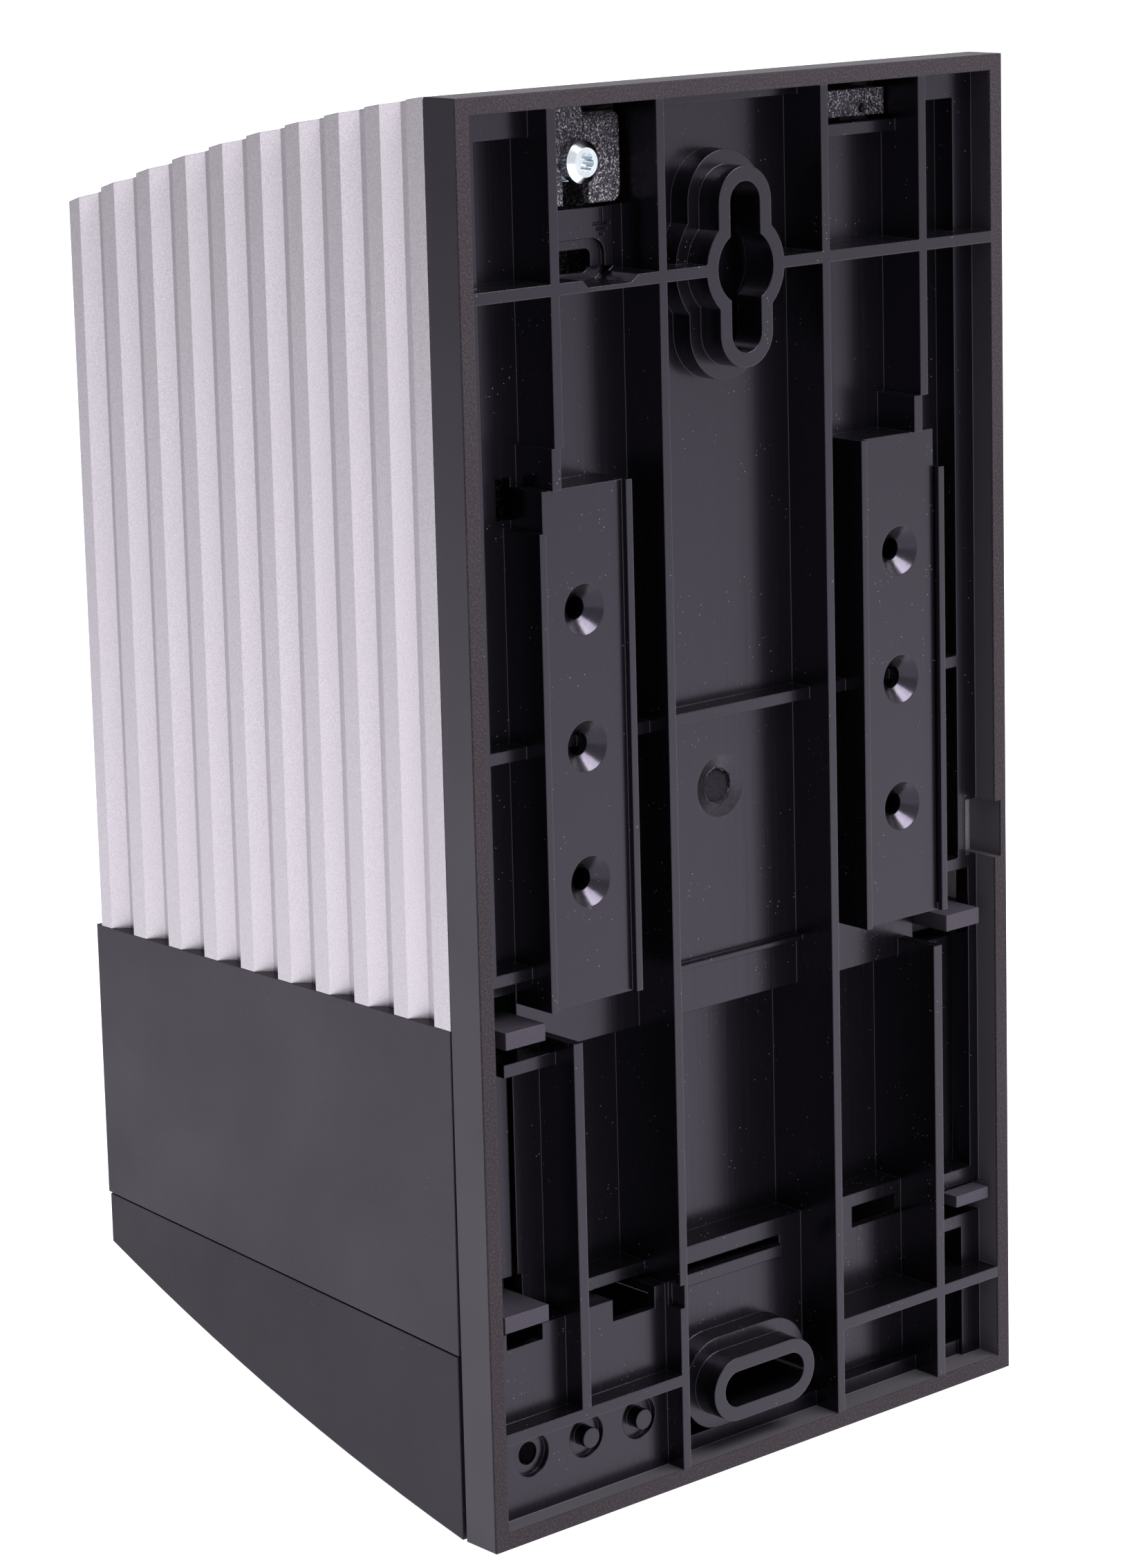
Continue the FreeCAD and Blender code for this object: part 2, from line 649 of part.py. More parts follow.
def plate_round_recesses():
    """Three round recesses in the raised floor beside the foot, the first with a hole."""
    tools = [rod(PLATE + "round_1", "y", ("53.7", "3", "14"), "4", "2.4"),
             rod(PLATE + "round_1_hole", "y", ("53.7", "3", "14"), "2.1", "5")]
    for k, x in ROUND_PINS:
        label = "%sround_%s" % (PLATE, k)
        whole = rod(label + "_whole", "y", (x, "3", "14"), "4", "2.4")
        tools.append(carve(label, whole, [round_pin(k + "_kept", x, "2", "4.4")]))
    return tools


def build_back_plate():
    solids = [plate_rim()] + plate_floor() + plate_skirt() + plate_strips() + plate_ribs()
    solids += plate_pads() + plate_small_ribs() + plate_bosses() + plate_pins()
    whole = join(PLATE + "solid", solids)
    tools = plate_key_cuts() + plate_screw_cuts() + plate_windows()
    tools += plate_earth_mark() + plate_round_recesses()
    return carve("back_plate", whole, tools)


# ---------------------------------------------------------------- heat sink and top

def build_heatsink():
    """Extruded aluminium shell: finned sides and front, inner flanges, arched top."""
    body = new_body("shell_blank")
    section = new_sketch(body, "XY_Plane", "shell_section")
    outline(section, [
        ("side", "shell_y_back"), ("side", "shell_y_chamfer"), ("chamfer_x", "shell_y_front"),
        ("-chamfer_x", "shell_y_front"), ("-side", "shell_y_chamfer"), ("-side", "shell_y_back"),
        ("-side_in", "shell_y_back"), ("-side_in", "flange_y_near"),
        ("-flange_edge", "flange_y_near"), ("-flange_edge", "flange_y_far"),
        ("-side_in", "flange_y_far"), ("-side_in", "shell_y_in"), ("side_in", "shell_y_in"),
        ("side_in", "flange_y_far"), ("flange_edge", "flange_y_far"),
        ("flange_edge", "flange_y_near"), ("side_in", "flange_y_near"),
        ("side_in", "shell_y_back")])
    pad(body, section, "shell_extrusion", "shell_up", "shell_down")
    groove = new_sketch(body, "XY_Plane", "side_groove")
    outline(groove, [("side", "groove_a"), ("side", "groove_d"),
                     ("groove_x", "groove_c"), ("groove_x", "groove_b")])
    outline(groove, [("-side", "groove_a"), ("-groove_x", "groove_b"),
                     ("-groove_x", "groove_c"), ("-side", "groove_d")])
    side_cut = pocket(body, groove, "side_groove_cut")
    row_of(body, side_cut, "side_grooves", "Y_Axis", "groove_count", "fin_pitch", True)
    for name, sign in (("left", ""), ("right", "-")):
        front = new_sketch(body, "XY_Plane", "front_groove_" + name)
        outline(front, [(sign + "front_a", "shell_y_front"), (sign + "front_d", "shell_y_front"),
                        (sign + "front_c", "front_y"), (sign + "front_b", "front_y")])
        cut = pocket(body, front, "front_groove_cut_" + name)
        row_of(body, cut, "front_grooves_" + name, "X_Axis", "front_groove_count", "fin_pitch",
               name == "left")
    arch = new_sketch(body, "YZ_Plane", "arch")
    outline(arch, [("shell_y_back", "top"), ("shell_y_front", "arch_low"),
                   ("ahead", "arch_low"), ("ahead", "above"), ("behind", "above"),
                   ("behind", "top")], {0: ("arch_radius", -1)})
    pocket(body, arch, "arch_cut")
    return carve("heatsink_shell", body, [
        rod("shell_screw_hole_%d" % (k + 1), "y", (x, "flange_near - 1", height), "screw_way", "6")
        for k, (x, height) in enumerate(CHASSIS_SCREWS)])


def build_top_cover():
    """Arched plastic lid set into the shell's top, with two rows of vent slots."""
    body = new_body("top_cover_blank")
    strip = new_sketch(body, "YZ_Plane", "cap_strip")
    outline(strip, [("cap_y_back", "cap_back_high"), ("cap_y_front", "cap_front_high"),
                    ("cap_y_front", "cap_front_low"), ("cap_y_back", "cap_back_low")],
            {0: ("arch_radius", -1), 2: ("arch_radius", 1)})
    pad(body, strip, "cap_pad", "2 * side_in - 0.6")
    slots = []
    for row, middle in (("back", 42), ("front", 78)):
        for k in range(9):
            x = 11.5 * (k - 4)
            slots.append(block("vent_%s_%d" % (row, k + 1), (x - 1.5, x + 1.5),
                               (middle - 14, middle + 14), ("200", "260")))
    for name, hand in (("left", 1), ("right", -1)):
        slots.append(block("flange_notch_" + name, mirror_x(("flange_edge - 0.4", "side"), hand),
                           ("flange_near - 0.4", "flange_far + 0.4"), ("200", "260")))
    return carve("top_cover", body, slots)


# ---------------------------------------------------------------- lower housing and cover

def housing_blank():
    """Box with an open back and an open, slanted underside."""
    body = new_body("housing_blank")
    outer = new_sketch(body, "YZ_Plane", "housing_side")
    outline(outer, [("housing_y_low", "seam_z_back"), ("body_y_front", "seam_z_front"),
                    ("body_y_front", "housing_top"), ("housing_y_high", "housing_top")])
    pad(body, outer, "housing_pad", "2 * side")
    inner = new_sketch(body, "YZ_Plane", "housing_hollow")
    outline(inner, [("behind", "below"), ("body_y_in", "below"),
                    ("body_y_in", "housing_under"), ("behind", "housing_under")])
    pocket(body, inner, "housing_pocket", "2 * side - 2 * wall")
    return body


def housing_tongues():
    """Four tongues that reach back through the plate's windows, each on a root block."""
    pieces = []
    for name, x, height, root in (
            ("high_left", ("50.5", "59.6"), ("91", "94.1"), ("88", "94.1")),
            ("high_right", ("-59.6", "-50.7"), ("91", "94.1"), ("88", "94.1")),
            ("low_left", ("51.4", "61.6"), ("39.5", "42.5"), ("39.5", "46")),
            ("low_right", ("-61.6", "-52.8"), ("35.4", "37.6"), ("36.5", "42"))):
        reach = (x[0], "side - 1") if name.endswith("left") else ("1 - side", x[1])
        pieces.append(block("tongue_" + name, x, ("1.2", "17"), height))
        pieces.append(block("tongue_root_" + name, reach, ("13.5", "17"), root))
    return pieces


def build_lower_housing():
    """Black middle section: walls, ledge under the shell, spigot, shelf, posts and tongues."""
    throat = "side_in - 1.7"
    spigot_x = (throat, "side_in - 0.3")
    front = "shell_front - groove_sink - shell_skin"
    spigot_front = ("%s - 1.7" % front, "%s - 0.3" % front)
    spigot = ("shell_foot - wall", "shell_foot + 4.5")
    adds = [
        block("shelf", ("wall - side", "side - wall"), ("21", "body_depth - wall"),
              ("shelf_height", "shelf_height + shelf_wall")),
        block("spigot_front", ("0 - (%s)" % spigot_x[1], spigot_x[1]), spigot_front, spigot),
    ]
    for name, hand in (("left", 1), ("right", -1)):
        adds.append(block("spigot_" + name, mirror_x(spigot_x, hand),
                          ("26", spigot_front[1]), spigot))
        adds.append(block("cover_post_" + name, mirror_x(("41", "49"), hand),
                          ("post_near", "cover_front - wall - 0.4"), ("33.9", "shelf_height")))
    tools = [
        block("throat", ("0 - (%s)" % throat, throat), ("13", spigot_front[0]),
              ("shell_foot - wall - 1", "shell_foot + 10")),
        block("throat_back", ("0.1 - side_in", "side_in - 0.1"), ("8", "13"),
              ("shell_foot - wall - 1", "shell_foot + 10")),
        block("wire_gap", ("-20", "20"), ("30", "36"), ("shelf_height - 1", "shelf_height + 3")),
        rod("light_hole", "y", ("0", "body_depth - 8", "light_height"), "2.6", "10"),
    ]
    for k, (x, height) in enumerate(COVER_SCREWS):
        tools.append(rod("insert_seat_%d" % (k + 1), "y", (x, "post_near + 1", height),
                         "insert_radius", "20"))
    open_box = carve("housing_open", join("housing_solid", [housing_blank()] + adds), tools)
    return join("lower_housing", [open_box] + housing_tongues())


def build_connection_cover():
    """Trough under the seam: curved belly, open at the back and at the top."""
    body = new_body("cover_blank")
    outer = new_sketch(body, "YZ_Plane", "cover_side")
    outline(outer, [("cover_y_back", "belly_back"), ("cover_y_front", "belly_front"),
                    ("cover_y_front", "cover_z_front"), ("cover_y_back", "cover_z_back")],
            {0: ("belly_radius", 1)})
    pad(body, outer, "cover_pad", "2 * side")
    inner = new_sketch(body, "YZ_Plane", "cover_hollow")
    outline(inner, [("behind", "belly_in_back"), ("cover_y_in", "belly_in_front"),
                    ("cover_y_in", "above"), ("behind", "above")],
            {0: ("belly_radius", 1)})
    pocket(body, inner, "cover_pocket", "2 * side - 2 * wall")
    tools = []
    for name, x in (("dc", "30"), ("ac", "-30")):
        tools.append(upright_slot("%s_cable_hole" % name, x, "38.5", "8.5", "6", ("0", "16")))
    tools.append(upright_slot("data_cable_hole", "0", "60", "4", "3", ("5", "24")))
    for k, (x, height) in enumerate(COVER_SCREWS):
        tools.append(rod("cover_hole_%d" % (k + 1), "y", (x, "cover_front - 5", height),
                         "screw_way", "8"))
        tools.append(rod("cover_sink_%d" % (k + 1), "y", (x, "cover_front - 1", height),
                         "3.2", "4"))
    return carve("connection_cover", body, tools)


def soft_window(label, x, depth, height, radius, both):
    """Window with a rounded upper corner on its -X side, or with both corners rounded."""
    low = "(%s) + %s" % (height[0], radius if both else "0")
    high = "(%s) - %s" % (height[1], radius)
    turn = "(%s) + %s" % (x[0], radius)
    span = "(%s) - (%s)" % (depth[1], depth[0])
    pieces = [block(label + "_wide", (turn, x[1]), depth, height),
              block(label + "_side", (x[0], turn), depth, (low, high)),
              rod(label + "_upper", "y", (turn, depth[0], high), radius, span)]
    if both:
        pieces.append(rod(label + "_lower", "y", (turn, depth[0], low), radius, span))
    return join(label, pieces)


def upright_slot(label, x, depth, half, reach, height):
    """Level oblong cut straight down through the belly."""
    span = "(%s) - (%s)" % (height[1], height[0])
    pieces = [rod("%s_%d" % (label, k), "z", ("%s + %s" % (x, end), depth, height[0]), half, span)
              for k, end in enumerate((reach, "(0 - %s)" % reach))]
    pieces.append(block(label + "_middle", ("%s - %s" % (x, reach), "%s + %s" % (x, reach)),
                        ("%s - %s" % (depth, half), "%s + %s" % (depth, half)), height))
    return join(label, pieces)


# ---------------------------------------------------------------- chassis and fasteners

def build_hanger_plate():
    """Folded steel plate: it carries the board, and its two tabs hang behind the windows."""
    chassis = ("chassis_near", "chassis_near + chassis_wall")
    fold = ("250.4", "251.9")
    pieces = [block("hanger_sheet", ("-59", "59"), chassis, ("100", "244"))]
    for name, x, low in (("left", ("22.1", "43"), "236.2"), ("right", ("-43.4", "-24"), "247")):
        pieces.append(block("hanger_riser_" + name, x, chassis, ("240", fold[1])))
        pieces.append(block("hanger_fold_" + name, x, ("tab_near", chassis[1]), fold))
        pieces.append(block("hanger_tab_" + name, x, ("tab_near", "tab_near + tab_wall"),
                            (low, fold[1])))
    pieces.append(block("hanger_tab_left_top", ("30.3", "43"), ("tab_near", "tab_near + tab_wall"),
                        (fold[0], "253.7")))
    solid = join("hanger_solid", pieces)
    corner = carve("tab_corner", block("tab_corner_square", ("22", "24.1"), ("7", "11"),
                                       ("236", "238.2")),
                   [rod("tab_corner_round", "y", ("24.1", "6", "238.2"), "2", "6")])
    tools = [
        corner,
        rod("tab_slot_round", "y", ("earth_x", "7", "earth_height"), "3", "4"),
        block("tab_slot", ("earth_x - 3", "earth_x + 3"), ("7", "11"), ("230", "earth_height")),
        wedge("tab_slit", ("30.3", "30.4"), ("29.9", "30.7"), ("7", "11"), ("248.9", "254")),
        carve("fold_corner", block("fold_corner_square", ("22", "30.3"), ("8", "10.4"),
                                   ("249.9", "252")),
              [rod("fold_corner_round", "x", ("21", "10.4", "249.9"), "2", "11")]),
        rod("tab_pin_hole", "y", ("-37.7", "7", "248.4"), "0.9", "4"),
        block("sheet_window", ("-30", "30"), ("18", "24"), ("180", "205")),
    ]
    for k, (x, height) in enumerate(CHASSIS_SCREWS):
        tools.append(rod("sheet_hole_%d" % (k + 1), "y", (x, "18", height), "1.7", "6"))
    for k, (x, height) in enumerate(BOARD_POSTS):
        tools.append(rod("post_seat_%d" % (k + 1), "y", (x, "18", height), "1.3", "6"))
    return carve("hanger_plate", solid, tools)


def recess(label, x, depth, height, size):
    """Cross recess in a screw's head; depth is the span it is sunk over."""
    half = "%s * 0.22" % size
    reach = size
    spans = ((reach, half), (half, reach))
    return [block("%s_%d" % (label, k),
                  ("(%s) - %s" % (x, wide), "(%s) + %s" % (x, wide)), depth,
                  ("(%s) - %s" % (height, high), "(%s) + %s" % (height, high)))
            for k, (wide, high) in enumerate(spans)]


def screw(label, x, height, seat, thick, shank, outward):
    """Pan head screw on its seat depth; outward 1 has its head on the front side."""
    if outward > 0:
        head = (seat, "%s + %s" % (seat, thick))
        stem = ("%s - %s" % (seat, shank), shank)
        sunk = ("%s - %s * 0.6" % (head[1], thick), "%s + 1" % head[1])
    else:
        head = ("%s - %s" % (seat, thick), seat)
        stem = (seat, shank)
        sunk = ("%s - 1" % head[0], "%s + %s * 0.6" % (head[0], thick))
    solid = join(label + "_body", [
        rod(label + "_head", "y", (x, head[0], height), "screw_head", thick),
        rod(label + "_shank", "y", (x, stem[0], height), "screw_core", stem[1])])
    return carve(label, solid, recess(label + "_recess", x, sunk, height, "1.7"))


def build_earth_parts():
    """Earth screw with a six-lobe recess, its toothed washer and the press nut behind the tab."""
    x, height = "earth_x", "earth_height"
    seat = "tab_near - 0.6"
    head = join("earth_head", [
        cone("earth_crown", (x, "%s - 2.4" % seat, height), "2.6", "3.75", "0.9"),
        rod("earth_rim", "y", (x, "%s - 1.5" % seat, height), "3.75", "1.5")])
    sunk = "%s - 2.5" % seat
    lobes = [rod("earth_lobe_core", "y", (x, sunk, height), "1.05", "1.6")]
    for k in range(6):
        turn = math.radians(60 * k + 10)
        lobes.append(rod("earth_lobe_%d" % (k + 1), "y",
                         ("%s + %.3f" % (x, 1.15 * math.cos(turn)), sunk,
                          "%s + %.3f" % (height, 1.15 * math.sin(turn))), "0.62", "1.6"))
    shank = rod("earth_shank", "y", (x, seat, height), "2", "8")
    carve("earth_screw", join("earth_screw_body", [head, shank]), lobes)
    washer = rod("earth_washer_disc", "y", (x, seat, height), "3.6", "0.6")
    carve("earth_washer", washer, [rod("earth_washer_hole", "y", (x, "7", height), "2.05", "3")])
    nut = prism("earth_nut_hex", "y", (x, "tab_near + tab_wall", height), "4", "3.2")
    carve("earth_nut", nut, [rod("earth_nut_bore", "y", (x, "9", height), "2.02", "6")])


def build_fasteners():
    """Screws, standoffs and inserts, each kind as one node of separate solids."""
    seat = "board_near + board_wall"
    posts = []
    for k, (x, height) in enumerate(BOARD_POSTS):
        label = "board_post_%d" % (k + 1)
        post = prism(label + "_hex", "y", (x, "chassis_near + chassis_wall", height),
                     "2.9", "board_near - chassis_near - chassis_wall")
        bore = rod(label + "_bore", "y", (x, "chassis_near + chassis_wall + 1.2", height),
                   "screw_way", "10")
        posts.append(carve(label, post, [bore]))
    group("board_standoffs", posts)
    group("board_screws", [screw("board_screw_%d" % (k + 1), x, height, seat, "1.8", "5.5", 1)
                           for k, (x, height) in enumerate(BOARD_POSTS)])
    group("chassis_screws", [
        screw("chassis_screw_%d" % (k + 1), x, height, "chassis_near", "1.8", "6", -1)
        for k, (x, height) in enumerate(CHASSIS_SCREWS)])
    group("cover_screws", [
        screw("cover_screw_%d" % (k + 1), x, height, "cover_front - 1", "1", "8", 1)
        for k, (x, height) in enumerate(COVER_SCREWS)])
    inserts = []
    for k, (x, height) in enumerate(COVER_SCREWS):
        label = "cover_insert_%d" % (k + 1)
        start = (x, "cover_front - wall - 0.4 - 5", height)
        sleeve = rod(label + "_sleeve", "y", start, "insert_radius", "5")
        inserts.append(carve(label, sleeve, [rod(label + "_bore", "y", start, "screw_way", "6")]))
    group("cover_inserts", inserts)


# ---------------------------------------------------------------- electronics

FACE = "board_near + board_wall"


def on_board(label, x, height, rise, lift="0"):
    """Block that stands on the component side of the main board."""
    near = "%s + %s" % (FACE, lift)
    return block(label, x, (near, "%s + %s" % (near, rise)), height)


def build_boards():
    """Main board, upright control board with its header and chips."""
    board = block("main_board_blank", ("-55", "55"),
                  ("board_near", "board_near + board_wall"), ("66", "238"))
    carve("main_board", board, [
        rod("board_hole_%d" % (k + 1), "y", (x, "26", height), "1.6", "4")
        for k, (x, height) in enumerate(BOARD_POSTS)])
    on_board("control_board", ("-14", "-12.4"), ("176", "228"), "34")
    on_board("control_header", ("-12.4", "-9.8"), ("184", "220"), "8.5")
    for k, height in enumerate(("186", "202", "214")):
        block("control_chip_%d_body" % (k + 1), ("-16", "-14"),
              ("44", "52"), (height, "%s + 9" % height))
    group("control_chips", [doc.getObject("control_chip_%d_body" % (k + 1)) for k in range(3)])


def build_transformer():
    """Ferrite core with its wound bobbin."""
    through = ("%s - 1" % FACE, "%s + 35" % FACE)
    outer = block("core_outer", ("-7", "43"), (FACE, "%s + 34" % FACE), ("142", "186"))
    windows = [block("core_window_%d" % (k + 1), x, through, ("151", "177"))
               for k, x in enumerate((("2", "11"), ("25", "34")))]
    carve("transformer_core", outer, windows)
    coil = block("coil_outer", ("2.4", "33.6"), ("%s + 3" % FACE, "%s + 42" % FACE),
                 ("151.4", "176.6"))
    leg = block("coil_leg", ("10.6", "25.4"), through, ("150", "178"))
    carve("transformer_winding", coil, [leg])


def build_choke():
    """Toroid choke with its turns."""
    x, depth, height = 28, "%s + 9.5" % FACE, 108
    pitch_radius, count = 15, 18
    ring("choke_core", "y", (x, depth, height), pitch_radius, "6")
    turns = []
    for k in range(count):
        angle = 2 * math.pi * k / count
        turn = doc.addObject("Part::Torus", "choke_turn_%d" % (k + 1))
        bind(turn, "Radius1", "6.9")
        bind(turn, "Radius2", "0.75")
        tangent = FreeCAD.Vector(-math.sin(angle), 0, math.cos(angle))
        turn.Placement = FreeCAD.Placement(FreeCAD.Vector(), FreeCAD.Rotation(
            FreeCAD.Vector(0, 0, 1), tangent))
        bind(turn, "Placement.Base.x", "%d + %.4f" % (x, pitch_radius * math.cos(angle)))
        bind(turn, "Placement.Base.y", "0 - (%s)" % depth)
        bind(turn, "Placement.Base.z",
             "foot + %d + %.4f" % (height, pitch_radius * math.sin(angle)))
        turns.append(turn)
    group("choke_winding", turns)


def build_capacitors():
    """Electrolytic cans, film boxes and relays on the main board."""
    for k, height in enumerate((86, 112, 138)):
        label = "input_capacitor_%d" % (k + 1)
        can = rod(label + "_can", "y", ("-34", "%s + 0.5" % FACE, height), "11", "40")
        foot = rod(label + "_foot", "y", ("-34", FACE, height), "11.3", "1.6")
        join(label, [can, foot])
    for k, height in enumerate((198, 218)):
        on_board("film_capacitor_%d" % (k + 1), ("2", "28"), (height - 7, height + 7), "20")
    for k, height in enumerate((196, 216)):
        on_board("grid_relay_%d" % (k + 1), ("31", "47"), (height - 8, height + 8), "22")


def build_transistors():
    """Power transistors stand on the board, pressed against the shell's side walls."""
    for hand, name in ((1, "left"), (-1, "right")):
        pad_x = mirror_x(("side_in - 0.4", "side_in"), hand)
        block("thermal_pad_" + name, pad_x, ("36", "52"), ("112", "212"))
        for k in range(3):
            height = 122 + 32 * k
            label = "transistor_%s_%d" % (name, k + 1)
            parts = [block(label + "_body", mirror_x(("side_in - 4.8", "side_in - 0.4"), hand),
                           ("37.5", "51"), (height, height + 10))]
            for lead in range(3):
                low = height + 2.1 + 2.54 * lead
                parts.append(block("%s_lead_%d" % (label, lead + 1),
                                   mirror_x(("53.4", "54.2"), hand), (FACE, "39"),
                                   (low, low + 0.8)))
                parts.append(block("%s_bend_%d" % (label, lead + 1),
                                   mirror_x(("53.4", "side_in - 4.7"), hand), ("38", "39"),
                                   (low, low + 0.8)))
            join(label, parts)
        bar = block("clamp_blank_" + name, mirror_x(("side_in - 8.3", "side_in - 4.8"), hand),
                    ("41.6", "47.6"), ("112", "212"))
        carve("clamp_bar_" + name, bar, [
            rod("clamp_hole_%s_%d" % (name, k + 1), "x",
                ("50" if hand > 0 else "-60", "44.6", height), "1.6", "10")
            for k, height in enumerate((116, 145, 177, 208))])


def build_terminals():
    """Terminal blocks, fuse and data socket under the shelf, reached with the cover off."""
    under = "shelf_height"
    for name, x, ways in (("dc_terminal", 22, 3), ("ac_terminal", -46, 3)):
        pitch = 8
        body = block(name + "_body", (x, x + ways * pitch), ("58", "76"), ("43", under))
        tools = []
        for k in range(ways):
            middle = x + pitch * (k + 0.5)
            tools.append(block("%s_entry_%d" % (name, k + 1), (middle - 1.9, middle + 1.9),
                               ("62.5", "66.3"), ("42", "52")))
            tools.append(rod("%s_well_%d" % (name, k + 1), "y", (middle, "70", "49"), "1.95",
                             "8"))
        carve(name, body, tools)
    heads = []
    for x in (22, -46):
        for k in range(3):
            heads.append(rod("terminal_screw_%d" % (len(heads) + 1), "y",
                             (x + 8 * (k + 0.5), "70", "49"), "1.8", "3"))
    group("terminal_screws", heads)
    base = block("fuse_base", ("-14", "14"), ("84", "93"), ("50", under))
    clips = [block("fuse_clip_%d" % k, x, ("85.4", "91.6"), ("43", "50.5"))
             for k, x in enumerate((("-12", "-9"), ("9", "12")))]
    holder = join("fuse_holder_solid", [base] + clips)
    carve("fuse_holder", holder, [rod("fuse_seat", "x", ("-13", "88.5", "46"), "2.55", "26")])
    rod("fuse", "x", ("-10.5", "88.5", "46"), "2.5", "21")
    socket = block("data_socket_body", ("-8", "8"), ("42", "58"), ("43", under))
    carve("data_socket", socket, [block("data_socket_port", ("-6", "6"), ("45", "53"),
                                        ("42", "54"))])


def build_light_pipe():
    """Round lens in the front wall, its stem and the little board with the light."""
    lens = rod("light_lens", "y", ("0", "body_depth - 4", "light_height"), "2.5", "4")
    flange = rod("light_flange", "y", ("0", "body_depth - wall - 1.5", "light_height"), "3.6",
                 "1.5")
    stem = rod("light_stem", "y", ("0", "body_depth - 14", "light_height"), "1.8", "12")
    join("status_light_pipe", [lens, flange, stem])
    block("status_board", ("-9", "9"), ("body_depth - 15.6", "body_depth - 14"),
          ("light_height - 8", "light_height + 8"))


def build_cable_clamps():
    """Strain relief saddles on posts under the shelf, one for each cable."""
    for name, x in (("dc", 30), ("ac", -30)):
        posts = [block("%s_clamp_post_%d" % (name, k), (x + a, x + a + 5), ("48", "54"),
                       ("34", "shelf_height")) for k, a in enumerate((-13.5, 8.5))]
        bar = block(name + "_clamp_bridge", (x - 13.5, x + 13.5), ("48", "54"), ("31", "34.2"))
        join(name + "_cable_clamp", posts + [bar])


NODES = [
    "back_plate", "heatsink_shell", "top_cover", "lower_housing", "connection_cover",
    "hanger_plate", "earth_screw", "earth_washer", "earth_nut", "chassis_screws",
    "board_standoffs", "board_screws", "main_board", "control_board", "control_header",
    "control_chips", "transformer_core", "transformer_winding", "choke_core",
    "choke_winding", "dc_terminal", "ac_terminal", "terminal_screws", "fuse_holder", "fuse",
    "data_socket", "status_light_pipe", "status_board", "dc_cable_clamp", "ac_cable_clamp",
    "cover_screws", "cover_inserts",
]
NODES += ["input_capacitor_%d" % k for k in (1, 2, 3)]
NODES += ["film_capacitor_%d" % k for k in (1, 2)] + ["grid_relay_%d" % k for k in (1, 2)]
NODES += ["transistor_%s_%d" % (side, k) for side in ("left", "right") for k in (1, 2, 3)]
NODES += [kind + side for kind in ("thermal_pad_", "clamp_bar_") for side in ("left", "right")]


def build_all():
    fill_sheet()
    build_back_plate()
    build_heatsink()
    build_top_cover()
    build_lower_housing()
    build_connection_cover()
    build_hanger_plate()
    build_earth_parts()
    build_fasteners()
    build_boards()
    build_transformer()
    build_choke()
    build_capacitors()
    build_transistors()
    build_terminals()
    build_light_pipe()
    build_cable_clamps()
    doc.recompute()


def check_all():
    failed = [item.Name for item in doc.Objects
              if "Invalid" in item.State or "Error" in item.State]
    if failed:
        raise RuntimeError("failed objects: %s" % ", ".join(failed))
    for label in NODES:
        shape = find(label).Shape
        if shape.isNull() or not shape.isValid() or not shape.Solids:
            raise RuntimeError("bad shape: %s" % label)
        print("%-22s solids %2d volume %10.1f" % (label, len(shape.Solids), shape.Volume))


def find(label):
    matches = doc.getObjectsByLabel(label)
    if len(matches) != 1:
        raise RuntimeError("%d objects are labelled %s" % (len(matches), label))
    return matches[0]


def write_all():
    os.makedirs("parts", exist_ok=True)
    for label in NODES:
        find(label).Shape.exportStep("parts/%s.step" % label)


build_all()
check_all()
write_all()
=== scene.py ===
import json
import math

import bmesh
import bpy
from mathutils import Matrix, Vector


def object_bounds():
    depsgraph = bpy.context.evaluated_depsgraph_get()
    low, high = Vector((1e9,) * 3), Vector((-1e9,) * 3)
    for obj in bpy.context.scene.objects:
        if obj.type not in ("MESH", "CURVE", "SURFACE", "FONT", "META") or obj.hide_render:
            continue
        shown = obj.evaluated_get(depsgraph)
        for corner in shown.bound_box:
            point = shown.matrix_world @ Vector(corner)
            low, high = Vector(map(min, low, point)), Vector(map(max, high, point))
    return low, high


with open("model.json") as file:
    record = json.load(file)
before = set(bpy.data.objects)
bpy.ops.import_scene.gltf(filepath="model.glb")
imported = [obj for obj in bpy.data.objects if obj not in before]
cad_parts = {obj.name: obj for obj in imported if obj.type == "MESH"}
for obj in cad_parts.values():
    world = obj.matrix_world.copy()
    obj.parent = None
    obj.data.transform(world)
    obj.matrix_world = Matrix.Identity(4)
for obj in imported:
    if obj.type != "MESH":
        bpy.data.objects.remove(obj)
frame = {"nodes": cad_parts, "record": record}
CAD_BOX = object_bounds()
NODES = frame["nodes"]
SLOTS = {part["node"]: part["material_slot"] for part in frame["record"]["subparts"]}
MM = 0.001
RANGE_SOCKETS = ("From Min", "From Max", "To Min", "To Max")
BEVEL_SAMPLES = 6


# ---------------------------------------------------------------- node helpers

